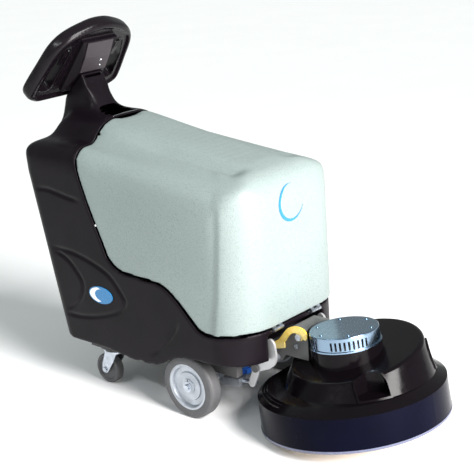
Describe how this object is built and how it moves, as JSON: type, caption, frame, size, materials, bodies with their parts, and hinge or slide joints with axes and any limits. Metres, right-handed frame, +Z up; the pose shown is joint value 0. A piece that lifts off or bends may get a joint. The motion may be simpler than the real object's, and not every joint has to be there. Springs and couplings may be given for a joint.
{
  "type": "high_speed_burnisher",
  "caption": "Walk-behind battery floor burnisher: round pad head on a lift hinge, hinged battery hood, two drive wheels, two swivel casters and a loop handle",
  "frame": {"origin": "on the floor under the middle of the bounding box", "axes": "+X forwards towards the pad head, +Y to the operator's left, +Z up"},
  "size_m": [1.4269, 0.562, 1.17],
  "materials": {
    "body_black": "satin, lightly textured moulding",
    "hood_grey": "satin, fine speckle",
    "badge_blue": "gloss",
    "frame_black": "powder coat",
    "zinc": "zinc plated",
    "arm_grey": "satin",
    "battery_case": "semi gloss",
    "cable_black": "satin sleeve",
    "cast_alloy": "as cast",
    "cap_alloy": "spun and brushed",
    "tyre_grey": "solid non-marking rubber",
    "shroud_black": "gloss",
    "skirt_navy": "glossy rubber",
    "trim_light": "smooth bead",
    "alloy_black": "black coated casting",
    "latch_yellow": "gloss",
    "driver_white": "moulded",
    "pad_fibre": "open non-woven fibre",
    "connector_blue": "moulded",
    "handle_black": "gloss",
    "cover_grey": "satin",
    "panel_grey": "satin with overlay",
    "control_black": "satin",
    "stop_red": "gloss",
    "chrome_part": "polished"
  },
  "bodies": {
    "chassis": {"body_shell": "body_black", "oval_badge": "badge_blue", "chassis_frame": "frame_black", "battery_deck": "frame_black", "battery_1": "battery_case", "battery_2": "battery_case", "battery_3": "battery_case", "battery_strap": "zinc", "battery_jumper_cables": "cable_black", "motor_controller": "cast_alloy", "transaxle_gearbox": "cast_alloy", "drive_motor": "frame_black", "hood_hinge_brackets": "zinc", "actuator_mount_plate": "arm_grey", "head_hinge_brackets": "frame_black", "cable_connector": "connector_blue", "head_power_cables": "cable_black", "handle_loop": "handle_black", "console_housing": "body_black", "console_front_cover": "cover_grey", "control_panel": "panel_grey", "battery_gauge": "control_black", "key_switch": "chrome_part", "rocker_frame": "control_black", "button_collar": "control_black", "lever_pins": "zinc"},
    "hood_cover": {"hood": "hood_grey", "hood_emblem": "badge_blue", "hood_hinge_straps": "zinc"},
    "head": {"shroud": "shroud_black", "skirt": "skirt_navy", "skirt_trim": "trim_light", "motor_plate": "cast_alloy", "motor_housing": "alloy_black", "motor_cap": "cap_alloy", "lift_arms": "arm_grey", "pivot_block": "alloy_black", "pivot_bolts": "zinc"},
    "pad_disc": {"pad_driver": "driver_white", "burnishing_pad": "pad_fibre", "pad_retainer": "control_black"},
    "latch": {"latch_lever": "latch_yellow"},
    "lift_motor": {"actuator_body": "cast_alloy"},
    "lift_rod": {"actuator_rod": "zinc"},
    "key": {"ignition_key": "chrome_part"},
    "knob": {"speed_knob": "control_black"},
    "rocker": {"head_rocker": "control_black"},
    "button": {"stop_button": "stop_red"},
    "right_wheel": {"right_tyre": "tyre_grey", "right_rim": "cast_alloy", "right_half_shaft": "zinc"},
    "right_swivel": {"right_caster_fork": "zinc"},
    "right_roller": {"right_caster_wheel": "tyre_grey"},
    "right_trigger": {"right_drive_lever": "handle_black"},
    "left_wheel": {"left_tyre": "tyre_grey", "left_rim": "cast_alloy", "left_half_shaft": "zinc"},
    "left_swivel": {"left_caster_fork": "zinc"},
    "left_roller": {"left_caster_wheel": "tyre_grey"},
    "left_trigger": {"left_drive_lever": "handle_black"}
  },
  "joints": [
    {"name": "hood_open", "type": "hinge", "parent": "chassis", "child": "hood_cover", "pos_m": [0.23145, 0, 0.296], "axis": [0, 1, 0], "range_deg": [0, 65]},
    {"name": "head_lift", "type": "hinge", "parent": "chassis", "child": "head", "pos_m": [0.16645, 0, 0.168], "axis": [0, 1, 0], "range_deg": [0, 6.7]},
    {"name": "pad_spin", "type": "hinge", "parent": "head", "child": "pad_disc", "pos_m": [0.43445, 0, 0.0358], "axis": [-0.1167, 0, 0.9932], "continuous": true},
    {"name": "latch_flip", "type": "hinge", "parent": "head", "child": "latch", "pos_m": [0.29145, -0.0645, 0.273], "axis": [0, 1, 0], "range_deg": [0, 12]},
    {"name": "actuator_tilt", "type": "hinge", "parent": "chassis", "child": "lift_motor", "pos_m": [0.02245, -0.1115, 0.092], "axis": [0, 1, 0], "range_deg": [-2.5, 0.5]},
    {"name": "actuator_extend", "type": "slide", "parent": "lift_motor", "child": "lift_rod", "axis": [0.9868, 0, 0.1618], "range_m": [-0.007, 0.001]},
    {"name": "right_wheel_spin", "type": "hinge", "parent": "chassis", "child": "right_wheel", "pos_m": [-0.01905, -0.212, 0.1016], "axis": [0, 1, 0], "continuous": true},
    {"name": "right_caster_swivel", "type": "hinge", "parent": "chassis", "child": "right_swivel", "pos_m": [-0.39455, -0.174, 0.118], "axis": [0, 0, 1], "continuous": true},
    {"name": "right_caster_roll", "type": "hinge", "parent": "right_swivel", "child": "right_roller", "pos_m": [-0.42955, -0.174, 0.05], "axis": [0, 1, 0], "continuous": true},
    {"name": "right_trigger_pull", "type": "hinge", "parent": "chassis", "child": "right_trigger", "pos_m": [-0.55668, -0.109, 1.07331], "axis": [0, 1, 0], "range_deg": [0, 14], "stiffness_Nm_per_rad": 0.4},
    {"name": "left_wheel_spin", "type": "hinge", "parent": "chassis", "child": "left_wheel", "pos_m": [-0.01905, 0.212, 0.1016], "axis": [0, 1, 0], "continuous": true},
    {"name": "left_caster_swivel", "type": "hinge", "parent": "chassis", "child": "left_swivel", "pos_m": [-0.39455, 0.174, 0.118], "axis": [0, 0, 1], "continuous": true},
    {"name": "left_caster_roll", "type": "hinge", "parent": "left_swivel", "child": "left_roller", "pos_m": [-0.42955, 0.174, 0.05], "axis": [0, 1, 0], "continuous": true},
    {"name": "left_trigger_pull", "type": "hinge", "parent": "chassis", "child": "left_trigger", "pos_m": [-0.55668, 0.109, 1.07331], "axis": [0, 1, 0], "range_deg": [0, 14], "stiffness_Nm_per_rad": 0.4},
    {"name": "key_turn", "type": "hinge", "parent": "chassis", "child": "key", "pos_m": [-0.57358, -0.04, 1.0982], "axis": [-0.7615, 0, 0.6481], "range_deg": [0, 60]},
    {"name": "knob_turn", "type": "hinge", "parent": "chassis", "child": "knob", "pos_m": [-0.61903, 0.038, 1.03708], "axis": [-0.7615, 0, 0.6481], "range_deg": [0, 270]},
    {"name": "rocker_tip", "type": "hinge", "parent": "chassis", "child": "rocker", "pos_m": [-0.61765, -0.036, 1.04641], "axis": [0, 1, 0], "range_deg": [-8, 8], "stiffness_Nm_per_rad": 0.2},
    {"name": "button_press", "type": "slide", "parent": "chassis", "child": "button", "axis": [0.7615, 0, -0.6481], "range_m": [0, 0.004], "stiffness_N_per_m": 400}
  ],
  "couplings": [
    {"joint": "actuator_tilt", "follows": "head_lift", "ratio": -0.29},
    {"joint": "actuator_extend", "follows": "head_lift", "m_per_rad": -0.0493}
  ]
}
